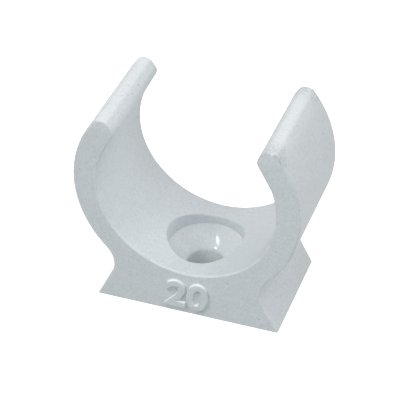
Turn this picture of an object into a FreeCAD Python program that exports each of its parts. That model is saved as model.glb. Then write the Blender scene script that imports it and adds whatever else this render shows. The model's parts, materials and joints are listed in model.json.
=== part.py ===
# Conduit clip: a moulded plastic clip that snaps round a round conduit and is held to a wall by one
# countersunk screw. It is one piece: two sprung arms, a flared foot and a screw seat in the floor.
#
# Frame: millimetres, +Z up. The foot stands on Z = 0, centred on the Z axis, the screw runs along Z
# and the conduit lies along Y.

import FreeCAD, Part
import math
import os

import Sketcher

PIECE = "conduit_clip"

# Driving dimensions: name, value in millimetres or degrees, meaning.
SIZES = (
    ("seat_radius", 10.15, "inner radius of the seat, for a conduit of 20 mm"),
    ("seat_height", 15.68, "conduit axis above the underside"),
    ("arm_wall", 2.72, "thickness of the arms and of the floor ring"),
    ("clip_length", 13.4, "length along the conduit"),
    ("foot_width", 21.35, "width of the foot on the wall"),
    ("flank_lean", 27.5, "lean of the foot's flanks from upright, degrees"),
    ("neck_round", 3.1, "concave round between flank and arm"),
    ("grip_step", 0.095, "how far each flat gripping face stands inside the seat's circle"),
    ("grip_angle", 27.7, "height of each gripping face round the axis, degrees above level"),
    ("grip_reach", 3.825, "width of each gripping face, up to the lip's innermost corner"),
    ("lead_slope", 54.0, "slope of the lead-in faces that guide the conduit in, degrees"),
    ("lead_rise", 1.37, "height of each lead-in face, up to the lip's level top"),
    ("crease_round", 1.2, "concave round where a gripping face meets the seat"),
    ("mouth_round", 0.97, "round on the innermost corner of a lip"),
    ("lip_inner_round", 0.79, "round between a lead-in face and the lip's top"),
    ("lip_outer_round", 0.92, "round between the lip's top and the outside of the arm"),
    ("screw_radius", 2.19, "clearance hole for the screw"),
    ("head_radius", 4.37, "recess for the screw head"),
    ("head_depth", 1.17, "straight wall of the recess below the lowest point of the seat"),
    ("head_angle", 90.0, "full angle of the countersink, degrees"),
    ("rim_round", 0.22, "round on the rim of the screw recess"),
    ("hole_round", 0.5, "round between the countersink and the clearance hole"),
    ("end_round", 0.22, "round on the edges of the two end faces"),
)

SHEET = "sizes"
TOUCH = 1e-3
FULL_TURN = 360.0
OVER = 1.0


def make_sheet(doc):
    """Puts the driving dimensions in a sheet, each under its own name, and returns them by name."""
    sheet = doc.addObject("Spreadsheet::Sheet", SHEET)
    for row, (name, value, meaning) in enumerate(SIZES, start=1):
        sheet.set(f"A{row}", meaning)
        sheet.set(f"B{row}", str(value))
        sheet.setAlias(f"B{row}", name)
    doc.recompute()
    return {name: float(sheet.get(name)) for name, _, _ in SIZES}


def cell(name):
    """The expression that reads one driving dimension."""
    return f"{SHEET}.{name}"


def point(x, z):
    """A point of a sketch on the upright plane across the conduit."""
    return FreeCAD.Vector(x, z, 0)


def new_sketch(body, name):
    """An empty sketch on the body's own XZ plane: its x is the part's X and its y is the part's Z."""
    sketch = body.newObject("Sketcher::SketchObject", name)
    plane = next(f for f in body.Origin.OriginFeatures if f.Role == "XZ_Plane")
    sketch.AttachmentSupport = [(plane, "")]
    sketch.MapMode = "FlatFace"
    return sketch


def arc(sketch, x, z, radius, start, end):
    """Adds an arc about a centre, anticlockwise from one angle to the other, in radians."""
    circle = Part.Circle(point(x, z), FreeCAD.Vector(0, 0, 1), radius)
    return sketch.addGeometry(Part.ArcOfCircle(circle, start, end), False)


def join(sketch, first, following):
    """Keeps the end of one line on the start of another."""
    sketch.addConstraint(Sketcher.Constraint("Coincident", first, 2, following, 1))


def run(sketch, corners):
    """Adds a run of lines through the corners, each joined to the one before."""
    lines = []
    for start, end in zip(corners, corners[1:]):
        lines.append(sketch.addGeometry(Part.LineSegment(point(*start), point(*end)), False))
    for line, following in zip(lines, lines[1:]):
        join(sketch, line, following)
    return lines


def polygon(sketch, corners):
    """Adds a closed run of lines through the corners."""
    lines = run(sketch, corners + corners[:1])
    join(sketch, lines[-1], lines[0])
    return lines


def drive(sketch, name, formula, *what):
    """Adds a dimension to a sketch under a name and binds it to a formula of the sheet's sizes."""
    index = sketch.addConstraint(Sketcher.Constraint(*what))
    sketch.renameConstraint(index, name)
    sketch.setExpression(f"Constraints.{name}", formula)


def mirror_points(sketch, first, first_end, second, second_end):
    """Keeps two points of a sketch on opposite sides of the upright axis."""
    sketch.addConstraint(Sketcher.Constraint("Symmetric", first, first_end, second, second_end, -2))


def cut_through(body, sketch, name):
    """Cuts a sketch through the whole length of the clip, both ways from the middle plane."""
    before = body.Shape.Volume
    pocket = body.newObject("PartDesign::Pocket", name)
    pocket.Profile = sketch
    pocket.Type = "ThroughAll"
    pocket.SideType = "Symmetric"
    body.Document.recompute()
    must_shrink(body, before, name)


def must_shrink(body, before, name):
    """Stops the build when a cut has taken nothing away."""
    if body.Shape.Volume > before - TOUCH:
        raise RuntimeError(f"{name} cut nothing")


def round_edges(body, name, radius_name, chosen):
    """Rounds the body's edges that pass a test, with a radius from the sheet."""
    edges = [f"Edge{n}" for n, edge in enumerate(body.Shape.Edges, start=1) if chosen(edge)]
    if not edges:
        raise RuntimeError(f"{name} found no edge to round")
    base = body.Tip
    fillet = body.newObject("PartDesign::Fillet", name)
    fillet.Base = (base, edges)
    fillet.setExpression("Radius", cell(radius_name))
    body.Document.recompute()


def middle(edge):
    """The point half way along an edge."""
    return edge.valueAt((edge.FirstParameter + edge.LastParameter) / 2)


def near(a, b):
    return abs(a - b) < TOUCH


def runs_along_clip(edge, size):
    """True for a straight edge that runs from one end face to the other."""
    ends = [vertex.Point for vertex in edge.Vertexes]
    if len(ends) != 2:
        return False
    reach = abs(ends[0].y - ends[1].y)
    return near(reach, size["clip_length"]) and near(edge.Length, size["clip_length"])


def arm_ring(body, size):
    """The round blank that the arms and the floor under the conduit are cut from."""
    sketch = new_sketch(body, "ring_outline")
    radius = size["seat_radius"] + size["arm_wall"]
    circle = Part.Circle(point(0, size["seat_height"]), FreeCAD.Vector(0, 0, 1), radius)
    ring = sketch.addGeometry(circle, False)
    sketch.addConstraint(Sketcher.Constraint("PointOnObject", ring, 3, -2))
    drive(sketch, "axis_height", cell("seat_height"), "DistanceY", -1, 1, ring, 3, size["seat_height"])
    outside = f"{cell('seat_radius')} + {cell('arm_wall')}"
    drive(sketch, "outer_radius", outside, "Radius", ring, radius)
    pad(body, sketch, "arm_ring")


def foot(body, size):
    """The flared foot: flat on the wall, its flanks leaning in until they meet the ring."""
    sketch = new_sketch(body, "foot_outline")
    rise = size["seat_height"] - size["seat_radius"] / 2
    foot_half = size["foot_width"] / 2
    top_half = foot_half - rise * math.tan(math.radians(size["flank_lean"]))
    corners = [(-foot_half, 0), (foot_half, 0), (top_half, rise), (-top_half, rise)]
    base, right, top, left = polygon(sketch, corners)
    sketch.addConstraint(Sketcher.Constraint("PointOnObject", base, 1, -1))
    mirror_points(sketch, base, 1, base, 2)
    mirror_points(sketch, top, 1, top, 2)
    drive(sketch, "foot_width", cell("foot_width"), "DistanceX", base, 1, base, 2, size["foot_width"])
    rise_formula = f"{cell('seat_height')} - {cell('seat_radius')} / 2"
    drive(sketch, "rise", rise_formula, "DistanceY", base, 2, right, 2, rise)
    lean_formula = f"{cell('foot_width')} / 2 - ({rise_formula}) * tan({cell('flank_lean')} * 1 deg)"
    drive(sketch, "top_half", lean_formula, "DistanceX", -1, 1, right, 2, top_half)
    pad(body, sketch, "foot")


def pad(body, sketch, name):
    """Pads a sketch along the conduit, the same way both sides of the middle plane."""
    feature = body.newObject("PartDesign::Pad", name)
    feature.Profile = sketch
    feature.SideType = "Symmetric"
    feature.setExpression("Length", cell("clip_length"))
    body.Document.recompute()


def neck_rounds(body, size):
    """The concave rounds where the flanks run into the arms."""

    def is_neck(edge):
        height = middle(edge).z
        return runs_along_clip(edge, size) and TOUCH < height < size["seat_height"] - TOUCH

    round_edges(body, "neck_rounds", "neck_round", is_neck)


def lip_corners(size):
    """The right lip's corners before they are rounded, each as x and z, under the names of their rounds."""
    axis_z = size["seat_height"]
    outside = size["seat_radius"] + size["arm_wall"]
    grip_gap = size["seat_radius"] - size["grip_step"]
    half_chord = math.sqrt(size["seat_radius"] ** 2 - grip_gap ** 2)
    grip = math.radians(size["grip_angle"])
    lead = math.radians(size["lead_slope"])

    def on_grip(along):
        """A point of the gripping face's line, counted upward from the point nearest to the axis."""
        x = grip_gap * math.cos(grip) - along * math.sin(grip)
        return x, axis_z + grip_gap * math.sin(grip) + along * math.cos(grip)

    mouth_x, mouth_z = on_grip(size["grip_reach"] - half_chord)
    top_z = mouth_z + size["lead_rise"]
    return {
        "crease": on_grip(-half_chord),
        "mouth": (mouth_x, mouth_z),
        "lip_inner": (mouth_x + size["lead_rise"] / math.tan(lead), top_z),
        "lip_outer": (math.sqrt(outside ** 2 - (top_z - axis_z) ** 2), top_z),
    }


def conduit_seat(body, size):
    """The seat: a round bore, then on each lip a flat gripping face, a lead-in face and the level top."""
    sketch = new_sketch(body, "seat_outline")
    axis_z = size["seat_height"]
    corners = lip_corners(size)
    clear = size["seat_radius"] + size["arm_wall"] + OVER
    grip = math.radians(size["grip_angle"])
    lead = math.radians(size["lead_slope"])

    right = [corners["crease"], corners["mouth"], corners["lip_inner"]]
    right += [(clear, corners["lip_inner"][1]), (clear, axis_z + clear)]
    outline = right + [(-x, z) for x, z in reversed(right)]
    crease_x, crease_z = corners["crease"]
    crease = math.atan2(crease_z - axis_z, crease_x)
    bore = arc(sketch, 0, axis_z, size["seat_radius"], math.pi - crease, 2 * math.pi + crease)
    lines = run(sketch, outline)
    join(sketch, bore, lines[0])
    join(sketch, lines[-1], bore)
    for on_right, on_left in zip(lines[:5], reversed(lines[4:])):
        mirror_points(sketch, on_right, 1, on_left, 2)
    grip_line, lead_line, lip_top, side, top = lines[:5]

    sketch.addConstraint(Sketcher.Constraint("Horizontal", lip_top))
    sketch.addConstraint(Sketcher.Constraint("Vertical", side))
    drive(sketch, "axis_height", cell("seat_height"), "DistanceY", -1, 1, bore, 3, axis_z)
    drive(sketch, "seat_radius", cell("seat_radius"), "Radius", bore, size["seat_radius"])
    gap = size["seat_radius"] - size["grip_step"]
    gap_formula = f"{cell('seat_radius')} - {cell('grip_step')}"
    drive(sketch, "grip_gap", gap_formula, "Distance", bore, 3, grip_line, gap)
    grip_formula = f"(90 + {cell('grip_angle')}) * 1 deg"
    drive(sketch, "grip_angle", grip_formula, "Angle", grip_line, math.pi / 2 + grip)
    drive(sketch, "grip_reach", cell("grip_reach"), "Distance", grip_line, size["grip_reach"])
    drive(sketch, "lead_slope", f"{cell('lead_slope')} * 1 deg", "Angle", lead_line, lead)
    rise = size["lead_rise"]
    drive(sketch, "lead_rise", cell("lead_rise"), "DistanceY", lead_line, 1, lead_line, 2, rise)
    clear_formula = f"{cell('seat_radius')} + {cell('arm_wall')} + {OVER}"
    drive(sketch, "past_arms", clear_formula, "DistanceX", bore, 3, side, 2, clear)
    drive(sketch, "above_arms", clear_formula, "DistanceY", bore, 3, side, 2, clear)
    cut_through(body, sketch, "conduit_seat")


def lip_rounds(body, size):
    """The rounds along the corners of both lips."""
    for corner, (x, z) in lip_corners(size).items():

        def is_corner(edge):
            at = middle(edge)
            return runs_along_clip(edge, size) and near(abs(at.x), x) and near(at.z, z)

        round_edges(body, f"{corner}_rounds", f"{corner}_round", is_corner)


def screw_seat(body, size):
    """The screw seat, turned about the screw axis: clearance hole, countersink and head recess."""
    sketch = new_sketch(body, "screw_seat_outline")
    axis_z = size["seat_height"]
    hole_x = size["screw_radius"]
    wall_x = size["head_radius"]
    below = size["head_radius"]
    slope = math.radians(size["head_angle"] / 2)
    cone_top = axis_z - size["seat_radius"] - size["head_depth"]
    cone_low = cone_top - (wall_x - hole_x) / math.tan(slope)
    back = size["hole_round"] * math.tan(slope / 2)
    outline = [
        (hole_x + back * math.sin(slope), cone_low + back * math.cos(slope)),
        (wall_x, cone_top),
        (wall_x, axis_z),
        (0, axis_z),
        (0, -below),
        (hole_x, -below),
        (hole_x, cone_low - back),
    ]
    cone, recess, top, axis, base, hole = run(sketch, outline)
    radius = size["hole_round"]
    bend = arc(sketch, hole_x + radius, cone_low - back, radius, math.pi - slope, math.pi)
    sketch.addConstraint(Sketcher.Constraint("Tangent", hole, 2, bend, 2))
    sketch.addConstraint(Sketcher.Constraint("Tangent", bend, 1, cone, 1))
    sketch.addConstraint(Sketcher.Constraint("PointOnObject", base, 1, -2))
    sketch.addConstraint(Sketcher.Constraint("Horizontal", base))
    sketch.addConstraint(Sketcher.Constraint("Vertical", hole))
    sketch.addConstraint(Sketcher.Constraint("Vertical", recess))
    sketch.addConstraint(Sketcher.Constraint("Horizontal", top))
    sketch.addConstraint(Sketcher.Constraint("Vertical", axis))
    drive(sketch, "below_foot", cell("head_radius"), "DistanceY", base, 1, -1, 1, below)
    drive(sketch, "screw_radius", cell("screw_radius"), "DistanceX", base, 1, base, 2, hole_x)
    drive(sketch, "head_radius", cell("head_radius"), "DistanceX", axis, 1, top, 1, wall_x)
    drive(sketch, "hole_round", cell("hole_round"), "Radius", bend, radius)
    slope_formula = f"(90 - {cell('head_angle')} / 2) * 1 deg"
    drive(sketch, "head_slope", slope_formula, "Angle", cone, math.pi / 2 - slope)
    cone_formula = f"{cell('seat_height')} - {cell('seat_radius')} - {cell('head_depth')}"
    drive(sketch, "cone_top", cone_formula, "DistanceY", -1, 1, cone, 2, cone_top)
    drive(sketch, "inside_seat", cell("seat_height"), "DistanceY", -1, 1, top, 1, axis_z)

    before = body.Shape.Volume
    groove = body.newObject("PartDesign::Groove", "screw_seat")
    groove.Profile = sketch
    groove.ReferenceAxis = (sketch, ["V_Axis"])
    groove.Angle = FULL_TURN
    body.Document.recompute()
    must_shrink(body, before, "screw_seat")

    def is_rim(edge):
        at = middle(edge)
        return near(math.hypot(at.x, at.y), size["head_radius"]) and at.z > cone_top + TOUCH

    round_edges(body, "rim_round", "rim_round", is_rim)


def end_rounds(body, size):
    """The small rounds on all edges of the two end faces, but for the sharp ones round the underside."""

    def is_end(edge):
        at = middle(edge)
        ends_on_plane = all(near(abs(v.Y), size["clip_length"] / 2) for v in edge.Vertexes)
        return near(abs(at.y), size["clip_length"] / 2) and ends_on_plane and at.z > TOUCH

    round_edges(body, "end_rounds", "end_round", is_end)


def check(doc, bodies):
    """Stops the build when any object has failed or any piece is not one sound solid."""
    for item in doc.Objects:
        if {"Invalid", "Error"} & set(item.State):
            raise RuntimeError(f"{item.Name} failed: {item.State}")
    for body in bodies:
        if body.Shape.isNull() or not body.Shape.isValid() or len(body.Shape.Solids) != 1:
            raise RuntimeError(f"{body.Label} is not one sound solid")


def main():
    doc = FreeCAD.newDocument("ConduitClip")
    size = make_sheet(doc)
    body = doc.addObject("PartDesign::Body", PIECE)
    body.Label = PIECE
    arm_ring(body, size)
    foot(body, size)
    neck_rounds(body, size)
    conduit_seat(body, size)
    lip_rounds(body, size)
    screw_seat(body, size)
    end_rounds(body, size)
    body.Placement = FreeCAD.Placement()
    doc.recompute()
    check(doc, [body])

    os.makedirs("parts", exist_ok=True)
    body.Shape.exportStep(os.path.join("parts", f"{body.Label}.step"))
    box = body.Shape.optimalBoundingBox()
    print(f"{body.Label}: {box.XLength:.2f} x {box.YLength:.2f} x {box.ZLength:.2f} mm, "
          f"{body.Shape.Volume:.1f} mm3, {len(body.Shape.Faces)} faces")


main()
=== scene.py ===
# The looks of the conduit clip: pale matte plastic with a fine moulded grain and a glossier screw seat,
# the raised size numerals on the front face, a plain white floor, soft studio light and the camera.

import functools
import json
import math
from types import SimpleNamespace

import bmesh
import bpy
from mathutils import Euler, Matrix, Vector

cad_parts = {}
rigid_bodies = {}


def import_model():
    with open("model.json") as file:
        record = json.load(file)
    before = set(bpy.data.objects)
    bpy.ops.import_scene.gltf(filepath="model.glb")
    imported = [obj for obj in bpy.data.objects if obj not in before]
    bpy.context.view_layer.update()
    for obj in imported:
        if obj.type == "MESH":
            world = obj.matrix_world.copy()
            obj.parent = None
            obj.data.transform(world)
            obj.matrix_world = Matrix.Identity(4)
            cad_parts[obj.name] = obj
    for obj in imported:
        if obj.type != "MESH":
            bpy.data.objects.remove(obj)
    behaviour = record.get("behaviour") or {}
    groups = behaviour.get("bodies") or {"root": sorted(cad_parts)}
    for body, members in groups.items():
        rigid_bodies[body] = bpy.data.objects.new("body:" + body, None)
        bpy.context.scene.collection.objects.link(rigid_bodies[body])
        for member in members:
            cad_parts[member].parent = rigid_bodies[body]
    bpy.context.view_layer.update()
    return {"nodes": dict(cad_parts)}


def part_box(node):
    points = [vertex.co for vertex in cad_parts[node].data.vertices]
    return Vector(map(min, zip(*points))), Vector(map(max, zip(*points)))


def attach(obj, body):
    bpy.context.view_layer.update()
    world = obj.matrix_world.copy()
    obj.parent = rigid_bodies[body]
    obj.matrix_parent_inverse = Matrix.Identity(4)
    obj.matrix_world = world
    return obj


MM = 0.001
WHITE = (1.0, 1.0, 1.0)
CLIP = "conduit_clip"

# Places on the clip, in millimetres: the radius and the heights of the screw seat's cone and hole, the depths
# below the clip's top between which the lips' tops fade out, the height of the conduit seat's axis, and the
# width of a mask's soft edge.
CONE_RADIUS = 4.34
CONE_HEIGHTS = (0.05, 4.34)
LIP_DEPTHS = (1.9, 0.63)
SEAT_AXIS = 15.68
MASK_BLUR = 0.04

# The raised numerals, in millimetres: a plain conduit size, centred under the seat on the front face. Their
# weight and the height of a capital are shares of the letter size, their edges and curves have a number of
# steps, and a sharp corner is in degrees.
NUMERALS = "20"
NUMERAL_HEIGHT = 3.6
NUMERAL_BASE = 0.95
NUMERAL_PROUD = 0.36
NUMERAL_SUNK = 0.16
NUMERAL_EDGE = 0.1
NUMERAL_WEIGHT = 0.016
NUMERAL_SLANT = 0.12
CAPITAL_SHARE = 0.729
NUMERAL_EDGE_STEPS = 3
NUMERAL_CURVE_STEPS = 8
WELD = 0.001
SHARP_CORNER = 50.0

# The plastic's linear colour, how far its mottling takes it down and up, and the tint of the glossy cone.
PLASTIC = (0.736, 0.788, 0.812)
CONTRAST = 0.44
CONE_TINT = (1.02, 1.0, 0.985)

# The mottling: the size of each noise's lumps in millimetres, its share of the shade, and its detail and
# roughness where they aren't the usual ones.
GRAIN_SIZE = 0.2
GRAIN_SHARE = 0.32
BLOTCH_SIZE = 0.42
BLOTCH_SHARE = 0.16
BLOTCH_DETAIL = 2.0
CLOUD_SIZE = 2.6
CLOUD_SHARE = 0.06
PIT_SIZE = 0.3
PIT_SHARE = 0.16
PIT_DETAIL = 5.0
PIT_ROUGHNESS = 0.65
SHADE_BASE = 0.22

# The dark specks: their linear colour, the grid that they lie in and their radius in millimetres, the share
# of the radius that is fully dark, the share of the grid's cells that hold one, and how dark it is.
SPECK = (0.30, 0.34, 0.36)
SPECK_GAP = 0.6
SPECK_RADIUS = 0.11
SPECK_CORE = 0.3
SPECK_SHARE = 0.22
SPECK_DARKNESS = 0.6

# The ends of the right lip are darker: where the darkening starts and is full, in millimetres in from the
# end faces. Its marks and its darker end rounds each have a size of lump, a range of noise that shows and a
# darkness, and it has more specks, and darker ones.
RIGHT_LIP_ENDS_IN = (3.1, 0.3)
MARK_SIZE = 0.3
MARK_NOISE = (0.35, 0.6)
MARK_DARKNESS = 0.26
END_ROUND_SIZE = 0.7
END_ROUND_NOISE = (0.44, 0.6)
END_ROUND_DARKNESS = 0.22
END_SPECK_SHARE = 0.8
END_SPECK_DARKNESS = 0.4

# Painted highlights on the rounds of the front and back edges: where they start and are full, in
# millimetres in from the end faces, and how squarely a surface faces forwards or back when it no longer
# counts as round. The painted highlight on the edges of the conduit seat, up to a reach from its axis, is
# even, and that on the outer ones fades between two heights. It comes and goes in waves. The numerals rise
# past the end face, and get a painted highlight where they face up.
EDGE_IN = (0.24, 0.14)
FLAT_FACE = (0.9, 1.0)
SEAT_REACH = (10.5, 10.9)
SEAT_PAINTED_HIGHLIGHT = 0.2
OUTER_HEIGHTS = (5.0, 14.0)
OUTER_PAINTED_HIGHLIGHT = (0.2, 0.03)
WAVE_SIZE = 1.4
WAVE_NOISE = (0.35, 0.65)
WAVE_GAIN = (0.3, 1.5)
PROUD_RISE = 0.04
NUMERAL_TOP_PAINTED_HIGHLIGHT = 0.7
FACING_UP = (0.0, 0.9)

# Gloss and relief: the roughness of the skin, its swing with the grain and that of the cone, the depths of
# the grain and the pits, the share of them that the cone lacks, and the radii where the cone's dish starts
# and is deepest. Lengths are in millimetres, and the dish's curve in 1 / millimetre.
ROUGH_SKIN = 0.55
ROUGH_SWING = 0.1
ROUGH_CONE = 0.1
SHINE = 0.3
REFRACTION = 1.5
GRAIN_DEPTH = 0.02
PIT_DEPTH = 0.05
CONE_POLISH = 0.9
DISH_START = 2.5
DISH_MIDDLE = 3.1
DISH_CURVE = 0.088

# The photograph's camera, in millimetres and degrees. The depth of its view is in metres.
CAMERA_PLACE = (50.564, -140.838, 124.127)
CAMERA_TURN = (52.907, 0.519, 19.603)
FOCAL_PIXELS = 1692.8
IMAGE_PIXELS = 400.0
SENSOR = 36.0
VIEW_DEPTH = (0.01, 50.0)

# The studio lights: name, azimuth and elevation in degrees, distance, width and height in millimetres, watts
# and colour. Azimuth 0 is in front of the clip, and 90 on its right. All of them are turned to one point.
AIM = (0.0, 0.0, 12.0)
BROAD = (600.0, 450.0, 450.0)
LIGHTS = (
    ("top_left_light", -60.0, 64.0, (250.0, 190.0, 190.0), 0.23, (1.0, 0.93, 0.92)),
    ("top_back_light", 120.0, 50.0, BROAD, 0.6, (1.0, 0.89, 0.88)),
    ("back_right_light", 135.0, 38.0, BROAD, 1.25, WHITE),
    ("front_left_light", -30.0, 50.0, BROAD, 0.61, (0.93, 1.0, 1.0)),
    ("front_right_light", 30.0, 50.0, BROAD, 0.64, (0.93, 0.99, 1.0)),
    ("low_right_light", 50.0, 12.0, (200.0, 150.0, 150.0), 0.09, (0.99, 0.99, 1.0)),
    ("low_left_light", -45.0, 30.0, BROAD, 0.44, (0.98, 1.0, 1.0)),
    ("under_right_light", 60.0, -28.0, BROAD, 0.36, (0.88, 1.0, 1.0)),
    ("under_light", 0.0, -55.0, BROAD, 0.65, (0.97, 1.0, 1.0)),
    ("key_light", -37.0, 45.0, (600.0, 190.0, 45.0), 0.51, WHITE),
    ("back_left_light", -110.0, 8.0, BROAD, 0.3, (1.0, 0.98, 0.98)),
    ("right_light", 85.0, 38.0, BROAD, 0.11, (0.98, 1.0, 1.0)),
)

# The floor, in millimetres: half its width, half the width and the length of the patch under the clip that
# doesn't glow, and how far it lies below the foot.
FLOOR_HALF = 6000.0
FLOOR_SHADE = (10.0, 6.4)
FLOOR_DROP = 0.02
FLOOR_COLOUR = (0.92, 0.92, 0.92)
FLOOR_GLOW = 1.09
FLOOR_ROUGH = 0.9
FLOOR_SHINE = 0.1


class Nodes:
    """A new material, and a short way to write its nodes: each call adds some and returns what they give."""

    def __init__(self, name):
        self.material = bpy.data.materials.new(name)
        self.material.use_nodes = True
        self.tree = self.material.node_tree
        self.tree.nodes.clear()

    def add(self, kind, inputs=(), **settings):
        """Adds one node. An input is another node's output, which is linked, or a value."""
        node = self.tree.nodes.new(kind)
        for name, value in settings.items():
            setattr(node, name, value)
        for socket, value in dict(inputs).items():
            if isinstance(value, bpy.types.NodeSocket):
                self.tree.links.new(value, node.inputs[socket])
            else:
                node.inputs[socket].default_value = value
        return node.outputs

    def split(self, vector):
        return self.add("ShaderNodeSeparateXYZ", {0: vector})

    def math(self, operation, *values):
        return self.add("ShaderNodeMath", enumerate(values), operation=operation)[0]

    def total(self, *terms):
        return functools.reduce(functools.partial(self.math, "ADD"), terms)

    def product(self, *factors):
        return functools.reduce(functools.partial(self.math, "MULTIPLY"), factors)

    def length(self, across, along):
        """The length of a vector, from its two parts."""
        return self.math("SQRT", self.total(self.product(across, across), self.product(along, along)))

    def ramp(self, value, low, high, to_low=0.0, to_high=1.0):
        """Maps a value smoothly from one range to another."""
        inputs = {"Value": value, "From Min": low, "From Max": high, "To Min": to_low, "To Max": to_high}
        return self.add("ShaderNodeMapRange", inputs, interpolation_type="SMOOTHSTEP")[0]

    # The sockets of a mix node are told apart by number, because several have the same name.
    def mix_values(self, factor, first, second):
        return self.add("ShaderNodeMix", {0: factor, 2: first, 3: second}, data_type="FLOAT")[0]

    def mix_colours(self, factor, first, second, how="MIX"):
        inputs = {0: factor, 6: first, 7: second}
        return self.add("ShaderNodeMix", inputs, data_type="RGBA", blend_type=how)[2]

    def noise(self, place, size, detail=3.0, roughness=0.5):
        """Noise from 0 to 1 whose lumps are about this size across."""
        inputs = {"Vector": place, "Scale": 1.0 / size, "Detail": detail, "Roughness": roughness}
        return self.add("ShaderNodeTexNoise", inputs)[0]

    def finish(self, surface):
        """Gives the material a shader with these inputs, and returns the material."""
        shader = self.add("ShaderNodeBsdfPrincipled", surface)[0]
        self.add("ShaderNodeOutputMaterial", {"Surface": shader})
        return self.material


def opaque(colour):
    return (*colour, 1.0)


def places(nodes):
    """What the layers of the plastic share.

    This is where on the clip a point is, in millimetres, masks that are 1 on one part of the clip and 0
    elsewhere, and the noises of the grain and of the lips' pits.
    """
    here = SimpleNamespace()
    metres = nodes.add("ShaderNodeTexCoord")["Object"]
    here.place = nodes.add("ShaderNodeVectorMath", {0: metres, "Scale": 1.0 / MM}, operation="SCALE")[0]
    here.x, here.y, here.z = nodes.split(here.place)
    here.radius = nodes.length(here.x, here.y)
    here.out = nodes.math("ABSOLUTE", here.y)
    here.grain = nodes.noise(here.place, GRAIN_SIZE)

    # The screw seat: the cone and the hole under it.
    bottom, top = CONE_HEIGHTS
    inside = nodes.ramp(here.radius, CONE_RADIUS, CONE_RADIUS + MASK_BLUR, 1.0, 0.0)
    above = nodes.ramp(here.z, bottom, bottom + MASK_BLUR)
    below = nodes.ramp(here.z, top, top + MASK_BLUR, 1.0, 0.0)
    here.cone = nodes.product(inside, above, below)

    # The lips' tops, down to their rounded corners, and the pits in them.
    clip_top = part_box(CLIP)[1].z / MM
    here.lips = nodes.ramp(here.z, *(clip_top - depth for depth in LIP_DEPTHS))
    here.pits = nodes.product(nodes.noise(here.place, PIT_SIZE, PIT_DETAIL, PIT_ROUGHNESS), here.lips)

    # The edges of the front and back, and then every surface but the flat front and back themselves.
    here.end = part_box(CLIP)[1].y / MM
    here.edge = nodes.ramp(here.out, *(here.end - inset for inset in EDGE_IN))
    _, along, here.up = nodes.split(nodes.add("ShaderNodeNewGeometry")["Normal"])
    here.off_ends = nodes.ramp(nodes.math("ABSOLUTE", along), *FLAT_FACE, 1.0, 0.0)

    # The right lip is darker and more specked towards its two ends.
    near_end = nodes.ramp(here.out, *(here.end - inset for inset in RIGHT_LIP_ENDS_IN))
    on_right = nodes.math("GREATER_THAN", here.x, 0.0)
    here.worn = nodes.product(near_end, here.lips, here.off_ends, on_right)
    return here


def mottled(nodes, here):
    """The plastic's colour: lumps of several sizes, darker towards the right lip's ends."""
    blotches = nodes.noise(here.place, BLOTCH_SIZE, BLOTCH_DETAIL)
    clouds = nodes.noise(here.place, CLOUD_SIZE)
    # The right lip's ends are darker in blotches and along their rounds.
    marks = nodes.product(here.worn, nodes.ramp(nodes.noise(here.place, MARK_SIZE), *MARK_NOISE))
    darker_end_rounds = nodes.ramp(nodes.noise(here.place, END_ROUND_SIZE), *END_ROUND_NOISE)
    darker_end_rounds = nodes.product(here.worn, here.edge, darker_end_rounds)
    shade = nodes.total(
        nodes.product(here.grain, GRAIN_SHARE),
        nodes.product(blotches, BLOTCH_SHARE),
        nodes.product(clouds, CLOUD_SHARE),
        nodes.product(here.pits, PIT_SHARE),
        nodes.product(marks, -MARK_DARKNESS),
        nodes.product(darker_end_rounds, -END_ROUND_DARKNESS),
        SHADE_BASE,
    )
    dark = [(1.0 - CONTRAST) * part for part in PLASTIC]
    light = [(1.0 + CONTRAST) * part for part in PLASTIC]
    return nodes.mix_colours(shade, opaque(dark), opaque(light))


def specks(nodes, here):
    """How dark the specks are: a dot in the middle of some cells of a grid, and in more towards the right
    lip's ends.
    """
    cells = nodes.add("ShaderNodeTexVoronoi", {"Vector": here.place, "Scale": 1.0 / SPECK_GAP})
    rim = SPECK_RADIUS / SPECK_GAP
    dot = nodes.ramp(cells["Distance"], SPECK_CORE * rim, rim, 1.0, 0.0)
    lot = nodes.add("ShaderNodeSeparateColor", {0: cells["Color"]})[0]
    share = nodes.total(SPECK_SHARE, nodes.product(here.worn, END_SPECK_SHARE))
    darkness = nodes.total(SPECK_DARKNESS, nodes.product(here.worn, END_SPECK_DARKNESS))
    return nodes.product(dot, nodes.math("LESS_THAN", lot, share), darkness)


def painted_edge_highlight(nodes, here):
    """The painted highlight on the rounds of the front and back edges, and on the numerals' tops."""
    reach = nodes.length(here.x, nodes.total(here.z, -SEAT_AXIS))
    outer = nodes.ramp(here.z, *OUTER_HEIGHTS, *OUTER_PAINTED_HIGHLIGHT)
    # The painted highlight on the edges' rounds: even near the seat, fading with height on the outer edges.
    rounds = nodes.ramp(reach, *SEAT_REACH, SEAT_PAINTED_HIGHLIGHT, outer)
    waves = nodes.ramp(nodes.noise(here.place, WAVE_SIZE), *WAVE_NOISE, *WAVE_GAIN)
    # The numerals' tops get a painted highlight where they face up.
    proud = nodes.ramp(here.out, here.end, here.end + PROUD_RISE, 0.0, NUMERAL_TOP_PAINTED_HIGHLIGHT)
    tops = nodes.product(nodes.ramp(here.up, *FACING_UP), proud)
    return nodes.product(here.edge, here.off_ends, nodes.total(nodes.product(rounds, waves), tops))


def roughness(nodes, here):
    """Matte where the grain is, and glossy on the cone."""
    skin = nodes.total(ROUGH_SKIN - ROUGH_SWING / 2, nodes.product(here.grain, ROUGH_SWING))
    return nodes.mix_values(here.cone, skin, ROUGH_CONE)


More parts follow.
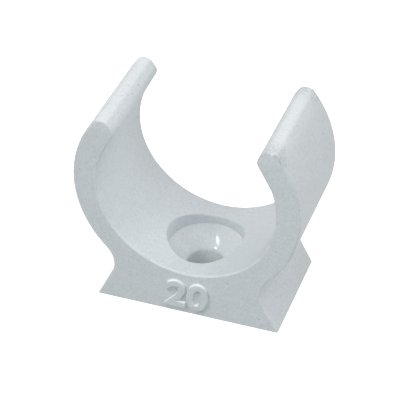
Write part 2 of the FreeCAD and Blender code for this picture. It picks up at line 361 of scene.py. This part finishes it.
def relief(nodes, here):
    """The fine relief of the surface: the grain, the lips' pits, and the cone's polish and dish."""
    skin = nodes.total(nodes.product(here.grain, GRAIN_DEPTH), nodes.product(here.pits, PIT_DEPTH))
    skin = nodes.product(skin, nodes.total(1.0, nodes.product(here.cone, -CONE_POLISH)))

    # The cone is a little dished, so that a lamp shows on it as a short spot.
    dish = nodes.math("MINIMUM", nodes.math("MAXIMUM", here.radius, DISH_START), CONE_RADIUS)
    dish = nodes.total(dish, -DISH_MIDDLE)
    dish = nodes.product(dish, dish, DISH_CURVE)
    height = nodes.product(nodes.total(skin, dish), MM)
    return nodes.add("ShaderNodeBump", {"Height": height, "Distance": 1.0, "Strength": 1.0})[0]


def plastic_material():
    """Matte pale plastic, mottled and specked, with painted edge highlights, darker right lip ends and a
    glossy screw seat.
    """
    nodes = Nodes("pale_plastic")
    here = places(nodes)
    colour = nodes.mix_colours(specks(nodes, here), mottled(nodes, here), opaque(SPECK))
    colour = nodes.mix_colours(here.cone, colour, opaque(CONE_TINT), "MULTIPLY")
    # Painted highlights: the edges' rounds and the numerals' up-facing tops are mixed towards white.
    colour = nodes.mix_colours(painted_edge_highlight(nodes, here), colour, opaque(WHITE))
    surface = {
        "Base Color": colour,
        "Roughness": roughness(nodes, here),
        "Normal": relief(nodes, here),
        "Specular IOR Level": SHINE,
        "IOR": REFRACTION,
    }
    return nodes.finish(surface)


def numeral_mesh():
    """Plain slanted numerals with rounded edges, lying flat on their backs."""
    text = bpy.data.curves.new("numeral_outline", "FONT")
    text.body = NUMERALS
    text.size = NUMERAL_HEIGHT / CAPITAL_SHARE * MM
    text.shear = NUMERAL_SLANT
    text.align_x = "CENTER"
    text.offset = NUMERAL_WEIGHT * text.size
    text.extrude = ((NUMERAL_PROUD + NUMERAL_SUNK) / 2 - NUMERAL_EDGE) * MM
    text.bevel_depth = NUMERAL_EDGE * MM
    text.bevel_resolution = NUMERAL_EDGE_STEPS
    text.resolution_u = NUMERAL_CURVE_STEPS
    source = bpy.data.objects.new("numeral_source", text)
    bpy.context.scene.collection.objects.link(source)
    bpy.context.view_layer.update()
    mesh = bpy.data.meshes.new_from_object(source.evaluated_get(bpy.context.evaluated_depsgraph_get()))
    bpy.data.objects.remove(source)
    bpy.data.curves.remove(text)
    return mesh


def weld(mesh):
    """Joins points that lie in one place and turns all faces outwards."""
    work = bmesh.new()
    work.from_mesh(mesh)
    bmesh.ops.remove_doubles(work, verts=work.verts, dist=WELD * MM)
    bmesh.ops.recalc_face_normals(work, faces=work.faces)
    work.to_mesh(mesh)
    work.free()


def raised_numerals(material):
    """The conduit size in raised numerals on the front face, with their backs sunk in it."""
    mesh = numeral_mesh()
    mesh.transform(Euler((math.radians(90.0), 0.0, 0.0)).to_matrix().to_4x4())
    across = [vertex.co.x for vertex in mesh.vertices]
    middle = (min(across) + max(across)) / 2
    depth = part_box(CLIP)[0].y - (NUMERAL_PROUD - NUMERAL_SUNK) / 2 * MM
    for vertex in mesh.vertices:
        vertex.co += Vector((-middle, depth, NUMERAL_BASE * MM))
    weld(mesh)
    mesh.polygons.foreach_set("use_smooth", [True] * len(mesh.polygons))
    mesh.set_sharp_from_angle(angle=math.radians(SHARP_CORNER))
    mesh.materials.clear()
    mesh.materials.append(material)
    numerals = bpy.data.objects.new("size_numerals", mesh)
    bpy.context.scene.collection.objects.link(numerals)
    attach(numerals, "root")


def floor_material():
    """White and glowing, so that the floor fades into the background, but not glowing under the clip."""
    nodes = Nodes("pale_floor")
    axes = nodes.split(nodes.add("ShaderNodeTexCoord")["Object"])
    outside = []
    for axis, reach in zip(axes, FLOOR_SHADE):
        outside.append(nodes.math("GREATER_THAN", nodes.math("ABSOLUTE", axis), reach * MM))
    surface = {
        "Base Color": opaque(FLOOR_COLOUR),
        "Roughness": FLOOR_ROUGH,
        "Specular IOR Level": FLOOR_SHINE,
        "Emission Color": opaque(FLOOR_COLOUR),
        "Emission Strength": nodes.product(nodes.math("MAXIMUM", *outside), FLOOR_GLOW),
    }
    return nodes.finish(surface)


def white_floor():
    """A wide plain floor just below the foot, which throws no soft light and no shadow on the clip."""
    mesh = bpy.data.meshes.new("studio_floor")
    half = FLOOR_HALF * MM
    corners = [(-half, -half, 0.0), (half, -half, 0.0), (half, half, 0.0), (-half, half, 0.0)]
    mesh.from_pydata(corners, [], [(0, 1, 2, 3)])
    mesh.materials.append(floor_material())
    floor = bpy.data.objects.new("studio_floor", mesh)
    floor.location.z = -FLOOR_DROP * MM
    floor.visible_diffuse = False
    floor.visible_shadow = False
    bpy.context.scene.collection.objects.link(floor)


def white_surround():
    """The white beyond the floor, which only the camera sees."""
    world = bpy.data.worlds.new("studio_world")
    world.use_nodes = True
    background = world.node_tree.nodes["Background"]
    background.inputs["Color"].default_value = opaque(WHITE)
    background.inputs["Strength"].default_value = 1.0
    for ray in ("diffuse", "glossy", "transmission", "scatter"):
        setattr(world.cycles_visibility, ray, False)
    bpy.context.scene.world = world


def studio_lights():
    """Soft rectangular lights all round the clip."""
    for name, azimuth, elevation, (distance, width, height), watts, colour in LIGHTS:
        data = bpy.data.lights.new(name, "AREA")
        data.shape = "RECTANGLE"
        data.size = width * MM
        data.size_y = height * MM
        data.energy = watts
        data.color = colour
        turn = Euler((math.radians(90.0 - elevation), 0.0, math.radians(azimuth)))
        light = bpy.data.objects.new(name, data)
        light.rotation_euler = turn
        light.location = (Vector(AIM) + turn.to_matrix() @ Vector((0.0, 0.0, distance))) * MM
        bpy.context.scene.collection.objects.link(light)


def photo_camera():
    """The camera at the photograph's place and angle."""
    data = bpy.data.cameras.new("photo_camera")
    data.sensor_width = SENSOR
    data.lens = FOCAL_PIXELS / IMAGE_PIXELS * SENSOR
    data.clip_start, data.clip_end = VIEW_DEPTH
    camera = bpy.data.objects.new("photo_camera", data)
    camera.location = Vector(CAMERA_PLACE) * MM
    camera.rotation_euler = [math.radians(turn) for turn in CAMERA_TURN]
    bpy.context.scene.collection.objects.link(camera)
    bpy.context.scene.camera = camera


# Blender's own first scene is emptied before the frame comes in.
for leftover in list(bpy.data.objects):
    bpy.data.objects.remove(leftover)
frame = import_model()

plastic = plastic_material()
clip = frame["nodes"][CLIP]
clip.data.materials.clear()
clip.data.materials.append(plastic)
raised_numerals(plastic)
white_floor()
white_surround()
studio_lights()
photo_camera()
bpy.context.scene.view_settings.view_transform = "Standard"
